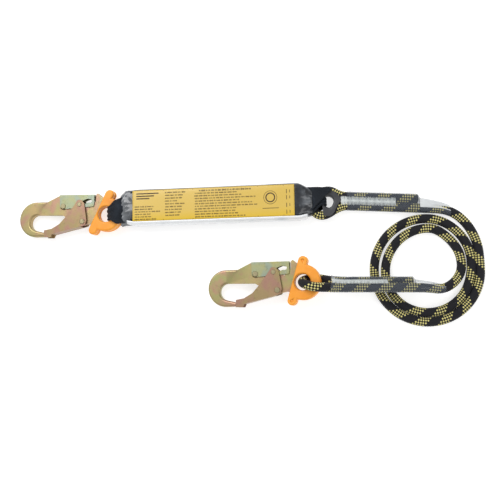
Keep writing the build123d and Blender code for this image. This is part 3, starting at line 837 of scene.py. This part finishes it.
def print_words(points, faces):
    """Rows of word-long runs of bars, in three blocks."""
    rng = random.Random(11)
    # left, right, top and bottom in mm, lines, and how much of a line is filled
    blocks = [
        (-101.5, -67.0, -1.5, -17.5, 6, 0.75), (-62.0, -29.0, 15.5, -13.5, 9, 0.62),
        (-24.0, 53.5, 16.2, -16.8, 11, 0.9),
    ]
    for left, right, top, bottom, count, fill in blocks:
        for row in range(count):
            y = top + (bottom - top) * row / (count - 1)
            bold = row == 0 and count > 10
            height = 1.15 if bold else 0.80
            x = left + (6.0 if bold else rng.uniform(0.0, 1.0))
            end = left + (right - left) * min(1.0, fill * rng.uniform(0.72, 1.12))
            while x < end:
                width = rng.uniform(1.8, 6.5)
                letters = max(2, int(width / 0.95))
                for letter in range(letters):
                    a = x + width * letter / letters
                    tall = height * rng.uniform(0.65, 1.15)
                    bar(points, faces, a * MM, (a + 0.66) * MM, (y - tall) * MM, (y + tall) * MM)
                x += width + 0.9


def print_ring(points, faces, inner, outer):
    """A printed ring, its radii in mm."""
    base, steps = len(points), 64
    for step in range(steps):
        angle = 2 * pi * step / steps
        for radius in (inner, outer):
            x, y = (71.3 + radius * cos(angle)) * MM, (4.1 + radius * sin(angle)) * MM
            points.append((x, y, label_height(x, y) + 0.05 * MM))
    for step in range(steps):
        a, b = base + 2 * step, base + 2 * ((step + 1) % steps)
        faces.append((a, a + 1, b + 1, b))


def make_print():
    """Generic print: dividers, words, headings as bars, and a plain double ring."""
    low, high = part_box("pack_label")
    points, faces = [], []
    for x in (-63.9, -26.1, 55.9, 87.7):
        bar(points, faces, (x - 0.3) * MM, (x + 0.3) * MM, low.y + 0.6 * MM, high.y - 0.6 * MM)
    print_words(points, faces)
    for row in range(3):
        y = 14.5 - 3.2 * row
        bar(points, faces, -99 * MM, (-70 - 6 * row) * MM, y * MM, (y + 1.4) * MM)
    print_ring(points, faces, 7.9, 8.4)
    print_ring(points, faces, 4.7, 6.1)
    bar(points, faces, 61.5 * MM, 81.5 * MM, -9.6 * MM, -8.9 * MM)
    for y in (-14.5, -6.0, 3.5, 11.0):
        bar(points, faces, 91.0 * MM, 91.7 * MM, (y - 2.6) * MM, (y + 2.6) * MM)
        bar(points, faces, 95.0 * MM, 95.6 * MM, (y - 1.6) * MM, (y + 2.0) * MM)
    ink = add_mesh("label_print", points, faces, INK, smooth=False)
    modifier(ink, "SOLIDIFY", thickness=0.05 * MM, offset=1.0)
    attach(ink, "root")
    return ink


def part_way(start, end, share):
    """The point part of the way from one point to another."""
    return tuple(a + (b - a) * share for a, b in zip(start, end))


def strap_path(ends, centre, radius):
    """The side view of a strap: in from one end, round a centre, and out to the other."""
    cx, cz = centre
    angles = []
    for (x, z), side in zip(ends, (1, -1)):
        out = hypot(x - cx, z - cz)
        angles.append(degrees(atan2(z - cz, x - cx)) + side * degrees(acos(radius / out)))
    start, end = angles[0], angles[1] + 360
    steps, turns = 14, 30
    bend = []
    for k in range(turns + 1):
        a = radians(start + (end - start) * k / turns)
        bend.append((cx + radius * cos(a), cz + radius * sin(a)))
    leg_in = [part_way(ends[0], bend[0], k / steps) for k in range(steps)]
    leg_out = [part_way(bend[-1], ends[1], k / steps) for k in range(1, steps + 1)]
    return leg_in + bend + leg_out


def make_strap(name, node_name, path, plan, ripple):
    """Webbing that follows a side view, as wide as its plan says, and gathered where it narrows."""
    columns = 36
    plan_x = [p[0] for p in plan]
    full_width = max(p[2] - p[1] for p in plan)
    points, along = [], [0.0]
    for row, (x, z) in enumerate(path):
        if row:
            along.append(along[-1] + hypot(x - path[row - 1][0], z - path[row - 1][1]))
        y_low = float(np.interp(x, plan_x, [p[1] for p in plan]))
        y_high = float(np.interp(x, plan_x, [p[2] for p in plan]))
        before, after = path[max(row - 1, 0)], path[min(row + 1, len(path) - 1)]
        ahead = (after[0] - before[0], after[1] - before[1])
        size = hypot(*ahead)
        normal = (ahead[1] / size, -ahead[0] / size)
        tight = max(0.0, 1 - (y_high - y_low) / full_width)
        for column in range(columns + 1):
            share = column / columns
            y = y_low + (y_high - y_low) * share
            fold = ripple * tight * cos(share * 2 * pi * 3.0)
            edge = 0.5 * ripple * tight * (2 * abs(share - 0.5)) ** 4
            fold += 0.25 * MM * noise.noise(Vector((x * 90, y * 150, z * 90)))
            points.append((x + normal[0] * (fold - edge), y, z + normal[1] * (fold - edge)))
    rows = len(path) - 1
    strap = add_mesh(name, points, grid_faces(rows, columns, False), WEBBING)
    set_uv(strap, rows, columns, lambda r, c: full_width * c / columns, lambda r, c: along[r])
    modifier(strap, "SOLIDIFY", thickness=WEBBING_T, offset=0.0)
    modifier(strap, "SUBSURF", levels=1, render_levels=1)
    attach(strap, "root")
    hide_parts(node_name)
    return strap


def make_ply(name, start, end, edges, height, ridges):
    """A flat ply of the rope strap between two places in X: edges(x) gives its two edges in Y."""
    rows, columns = 28, 30
    points, along = [], []
    for row in range(rows + 1):
        x = start + (end - start) * row / rows
        y_low, y_high = edges(x)
        along.append(x)
        for column in range(columns + 1):
            y = y_low + (y_high - y_low) * column / columns
            ridge = ridges * noise.noise(Vector((x * 130, y * 40, 3.0)))
            points.append((x, y, height + ridge))
    ply = add_mesh(name, points, grid_faces(rows, columns, False), WEBBING)
    set_uv(ply, rows, columns, lambda r, c: 0.029 * c / columns, lambda r, c: along[r])
    modifier(ply, "SOLIDIFY", thickness=1.1 * MM, offset=0.0)
    apply_modifiers(ply)
    return ply


def upper_edges(x):
    """The upper ply's edges: its front edge runs at a slant over the rope's eye."""
    slant = min(-0.0125 + 1.03 * max(0.0, x - 0.1214), 0.0125)
    return slant - 0.5 * max(0.0, 0.1214 - x), 0.0163 - 0.1 * max(0.0, x - 0.129)


def lower_edges(x):
    """The lower ply's edges, under the eye: it narrows towards the thimble's hole."""
    return -0.0150 + 0.55 * max(0.0, x - 0.124), 0.0135 - 0.4 * max(0.0, x - 0.122)


def make_harness_webbing():
    """The loop round the harness guard's bar. Its plan has X, then the two edges in Y."""
    end_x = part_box("harness_strap")[0].x + 32.2 * MM
    path = strap_path([(end_x, 18.6 * MM), (end_x, 6.0 * MM)], (-127.6 * MM, 14.0 * MM), 12.5 * MM)
    plan = [
        (-0.1420, -0.0155, 0.0012), (-0.1380, -0.0156, 0.0016), (-0.1350, -0.0160, 0.0022),
        (-0.1320, -0.0174, 0.0046), (-0.1285, -0.0203, 0.0082), (-0.1240, -0.0222, 0.0102),
        (-0.1205, -0.0212, 0.0118), (-0.1080, -0.0185, 0.0175),
    ]
    make_strap("harness_webbing", "harness_strap", path, plan, 0.9 * MM)


def make_rope_webbing():
    """The loop through the thimble, and the two plies over and under the rope's eye."""
    side_view = [
        (102.2, 17.6), (106.0, 17.2), (110.0, 16.9), (114.0, 16.6), (118.0, 16.3), (122.0, 16.0),
        (126.0, 15.9), (130.0, 15.9), (134.0, 15.9), (136.6, 15.7), (138.3, 14.7), (138.9, 13.0),
        (138.9, 8.5), (138.9, 4.0), (138.3, 2.3), (136.6, 1.4), (133.0, 1.2), (128.0, 1.2),
        (123.0, 1.7), (117.0, 2.8), (110.0, 4.1), (102.2, 5.5),
    ]
    path = [(x * MM, z * MM) for x, z in side_view]
    plan = [
        (0.1020, -0.0175, 0.0175), (0.1180, -0.0185, 0.0160), (0.1225, -0.0175, 0.0145),
        (0.1290, -0.0100, 0.0075), (0.1330, -0.0062, 0.0040), (0.1400, -0.0060, 0.0038),
    ]
    loop = make_strap("rope_webbing", "rope_strap", path, plan, 0.8 * MM)
    upper = make_ply("upper_ply", 0.1150, 0.1455, upper_edges, 17.6 * MM, 0.5 * MM)
    under = make_ply("lower_ply", 0.1180, 0.1370, lower_edges, 1.2 * MM, 0.0)
    joined("rope_webbing", [loop, upper, under])


# ---- hooks and guards: the CAD pieces, with edges eased and real finishes ----
def finish_node(name, material, ease):
    """Give a CAD piece its material, and ease its sharp edges."""
    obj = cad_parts[name]
    obj.data.materials.clear()
    obj.data.materials.append(material)
    modifier(obj, "WELD", merge_threshold=0.01 * MM)
    if ease:
        modifier(obj, "BEVEL", width=ease, segments=2, limit_method="ANGLE", angle_limit=radians(32))
    modifier(obj, "WEIGHTED_NORMAL", keep_sharp=False, weight=80)


def finish_cad_pieces():
    """Each CAD piece's material, and how far its edges are eased."""
    finishes = {
        "hook_body": (FORGED, 0.35 * MM), "gate": (GATE_ZINC, 0.22 * MM),
        "lock": (LOCK_ZINC, 0.22 * MM), "gate_pivot": (RIVET, 0.12 * MM),
        "lock_pivot": (RIVET, 0.12 * MM), "gate_tail_pin": (RIVET, 0.1 * MM),
        "gate_spring": (SPRING, 0.0), "lock_spring": (SPRING, 0.0),
        "guard_front": (ORANGE, 0.0), "guard_back": (ORANGE, 0.0), "guard_pins": (ORANGE, 0.15 * MM),
    }
    for hook in ("harness", "anchor"):
        for key, (material, ease) in finishes.items():
            finish_node(hook + "_" + key, material, ease)
    for name in ("harness_strap_tacks", "rope_strap_tacks"):
        finish_node(name, THREAD, 0.12 * MM)
    finish_node("tear_webbing", WEBBING, 0.3 * MM)


# ---- stage ----
def make_floor():
    """A white floor that lifts itself a little, so that only soft shadows show."""
    material, tree, shader = new_material(
        "floor", Roughness=0.9, Emission_Color=(1, 1, 1, 1), Emission_Strength=0.66,
    )
    pale = cloud(tree, place(tree), 3.0, 2.0)
    tint = mixed(tree, pale, (0.56, 0.56, 0.56, 1), (0.59, 0.59, 0.59, 1))
    tree.links.new(tint, shader.inputs["Base Color"])
    half = 6.0
    corners = [(x, y, FLOOR_Z) for x, y in ((-half, -half), (half, -half), (half, half), (-half, half))]
    add_mesh("floor", corners, [(0, 1, 2, 3)], material, smooth=False)


def make_lamp(name, spot, size, power):
    """A square lamp that points at the object's middle."""
    data = bpy.data.lights.new(name, "AREA")
    data.size = size
    data.energy = power
    lamp = bpy.data.objects.new(name, data)
    lamp.location = spot
    aim = Vector((0.05, -0.03, 0.0))
    lamp.rotation_euler = (aim - Vector(spot)).to_track_quat("-Z", "Y").to_euler()
    bpy.context.scene.collection.objects.link(lamp)


def make_stage():
    make_floor()
    world = bpy.data.worlds.new("studio")
    bpy.context.scene.world = world
    world.use_nodes = True
    background = world.node_tree.nodes["Background"]
    background.inputs["Color"].default_value = (1, 1, 1, 1)
    background.inputs["Strength"].default_value = 0.54
    make_lamp("key", (-0.5, 0.7, 1.1), 0.9, 12.5)
    make_lamp("fill", (0.9, -0.5, 1.0), 1.0, 4.5)
    bpy.context.scene.view_settings.view_transform = "Standard"


def make_camera():
    """The photograph's view: nearly from above, a little from the front right."""
    data = bpy.data.cameras.new("camera")
    data.lens = 50
    data.sensor_width = 36
    data.clip_end = 20
    camera = bpy.data.objects.new("camera", data)
    right = Vector((0.9911, -0.0165, -0.1322)).normalized()
    back = Vector((0.1298, -0.1036, 0.9861))
    back = (back - right * back.dot(right)).normalized()
    up = back.cross(right)
    turn = Matrix((right, up, back)).transposed().to_4x4()
    camera.matrix_world = Matrix.Translation((0.1557, -0.1487, 0.8678)) @ turn
    bpy.context.scene.collection.objects.link(camera)
    bpy.context.scene.camera = camera


make_camera()
make_stage()
rope, rope_line, rope_along = make_rope()
eye_main, eye_tail, eye_end = legs_of(rope_line, EYE_MAIN, EYE_TAIL)
hook_main, hook_tail, hook_end = legs_of(rope_line, HOOK_MAIN, HOOK_TAIL)
thimble = make_thimble()
on_rope = [
    make_sleeve(
        "eye_sleeve", "eye_splice_sleeve",
        eye_main[SLEEVE_SKIPS:], eye_tail[SLEEVE_SKIPS:], eye_end, 37 * MM,
    ),
    make_sleeve("hook_sleeve", "hook_splice_sleeve", hook_main, hook_tail, hook_end, 36 * MM),
    make_seizing(
        "eye_seizing", "eye_splice_stitching", eye_main, eye_tail,
        (0.1575, 0.224), 5, 10.8 * MM, 0.0,
    ),
    make_seizing(
        "hook_seizing", "hook_splice_stitching", hook_main, hook_tail,
        (0.144, 0.210), 6, 16.6 * MM, 0.6 * MM,
    ),
    thimble,
]
make_film()
make_label()
make_strip()
make_print()
make_harness_webbing()
make_rope_webbing()
finish_cad_pieces()
